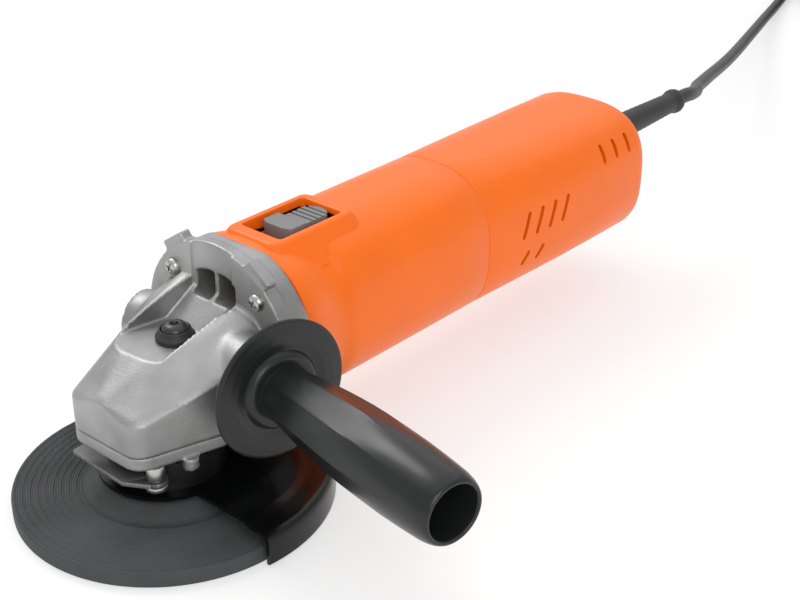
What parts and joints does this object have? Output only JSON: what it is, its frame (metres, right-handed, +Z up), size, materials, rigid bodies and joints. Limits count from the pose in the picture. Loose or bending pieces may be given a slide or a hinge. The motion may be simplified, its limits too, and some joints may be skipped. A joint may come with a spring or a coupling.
{
  "type": "angle grinder",
  "caption": "Corded angle grinder with depressed-centre wheel, turning guard, side handle, spindle lock and slide switch; gears and motor inside.",
  "frame": {"origin": "on the spindle axis, in the plane of the grinding wheel's lower face", "axes": "+Z up along the spindle from the wheel into the gear head, +Y back along the motor to the cord, +X towards the fitted side handle"},
  "size_m": [0.317, 0.9713, 0.099],
  "materials": {
    "cast_aluminium": "sand-cast, slightly rough, with polished machined faces",
    "machined_steel": "fine turned and ground",
    "gear_steel": "hardened, dark, oiled",
    "bearing_steel": "ground and polished",
    "screw_zinc": "zinc plated",
    "seal_rubber": "matt moulded rubber",
    "orange_plastic": "smooth satin glass-filled nylon",
    "grey_plastic": "fine moulded grain",
    "black_plastic": "satin moulded",
    "handle_plastic": "satin, lightly polished by the hand",
    "fan_plastic": "plain moulded",
    "guard_black": "gloss black enamel on pressed steel",
    "lever_steel": "black oxide with bright sheared edges",
    "collar_steel": "rolled steel band",
    "wheel_abrasive": "resin-bonded grit with fine pressed rings",
    "lamination_steel": "stacked laminations",
    "copper_winding": "enamelled copper wire, varnished",
    "commutator_copper": "turned copper bars",
    "brass": "drawn brass",
    "carbon": "sintered carbon",
    "spring_steel": "drawn wire",
    "capacitor_film": "moulded case",
    "cord_rubber": "smooth grey rubber sheath",
    "sleeve_rubber": "matt grey moulded sleeve"
  },
  "bodies": {
    "grinder_body": {"gear_head": "cast_aluminium", "bearing_flange": "cast_aluminium", "flange_screws": "screw_zinc", "head_screws": "screw_zinc", "needle_bearing": "bearing_steel", "spindle_bearing_outer": "bearing_steel", "shaft_seal": "seal_rubber", "front_bearing_outer": "bearing_steel", "front_bearing_plate": "machined_steel", "handle_bushes": "machined_steel", "motor_housing": "orange_plastic", "stator_core": "lamination_steel", "field_windings": "copper_winding", "baffle_ring": "black_plastic", "rear_bearing_outer": "bearing_steel", "rear_bearing_sleeve": "seal_rubber", "brush_holders": "brass", "carbon_brushes": "carbon", "brush_springs": "spring_steel", "rear_cover": "orange_plastic", "cover_screws": "screw_zinc", "switch_block": "black_plastic", "capacitor": "capacitor_film", "cable_clamp": "black_plastic", "strain_relief": "sleeve_rubber", "mains_cord": "cord_rubber", "cord_coil": "cord_rubber", "cord_tie": "black_plastic", "plug_body": "seal_rubber", "plug_pins": "brass", "lever_pivot": "screw_zinc", "lock_button_collar": "black_plastic", "lock_spring": "spring_steel"},
    "spindle_group": {"spindle": "machined_steel", "crown_gear": "gear_steel", "gear_clip": "spring_steel", "spindle_bearing_inner": "bearing_steel", "spindle_bearing_balls": "bearing_steel", "inner_flange": "machined_steel", "grinding_wheel": "wheel_abrasive", "clamp_nut": "gear_steel"},
    "armature_group": {"armature_shaft": "machined_steel", "pinion": "gear_steel", "pinion_nut": "machined_steel", "armature_core": "lamination_steel", "armature_windings": "copper_winding", "commutator": "commutator_copper", "fan": "fan_plastic", "front_bearing_inner": "bearing_steel", "rear_bearing_inner": "bearing_steel", "armature_bearing_balls": "bearing_steel"},
    "guard_group": {"guard_shell": "guard_black", "guard_collar": "collar_steel"},
    "guard_lever": {"guard_lever": "lever_steel"},
    "lock_group": {"lock_button": "black_plastic", "lock_pin": "machined_steel"},
    "switch_group": {"switch_slider": "grey_plastic", "slider_rod": "black_plastic"},
    "handle_group": {"handle_grip": "handle_plastic", "handle_stud": "machined_steel"}
  },
  "joints": [
    {"name": "spindle_spin", "type": "hinge", "parent": "grinder_body", "child": "spindle_group", "pos_m": [0, 0, 0], "axis": [0, 0, 1], "continuous": true},
    {"name": "armature_spin", "type": "hinge", "parent": "grinder_body", "child": "armature_group", "pos_m": [0, 0, 0.058], "axis": [0, 1, 0], "continuous": true},
    {"name": "guard_turn", "type": "hinge", "parent": "grinder_body", "child": "guard_group", "pos_m": [0, 0, 0], "axis": [0, 0, 1], "range_deg": [-90, 90]},
    {"name": "guard_lever_swing", "type": "hinge", "parent": "grinder_body", "child": "guard_lever", "pos_m": [0.0188, -0.0215, 0.0245], "axis": [0, 0, 1], "range_deg": [0, 60]},
    {"name": "spindle_lock_press", "type": "slide", "parent": "grinder_body", "child": "lock_group", "axis": [0, 0, -1], "range_m": [0, 0.004], "stiffness_N_per_m": 900, "springref_m": -0.002, "deforming": ["lock_spring"]},
    {"name": "switch_slide", "type": "slide", "parent": "grinder_body", "child": "switch_group", "axis": [0, -1, 0], "range_m": [0, 0.006]},
    {"name": "handle_unscrew", "type": "hinge", "parent": "grinder_body", "child": "handle_group", "pos_m": [0.034, 0.019, 0.06], "axis": [0.9836, -0.1805, 0], "continuous": true}
  ],
  "couplings": [
    {"joint": "armature_spin", "follows": "spindle_spin", "ratio": 3}
  ]
}
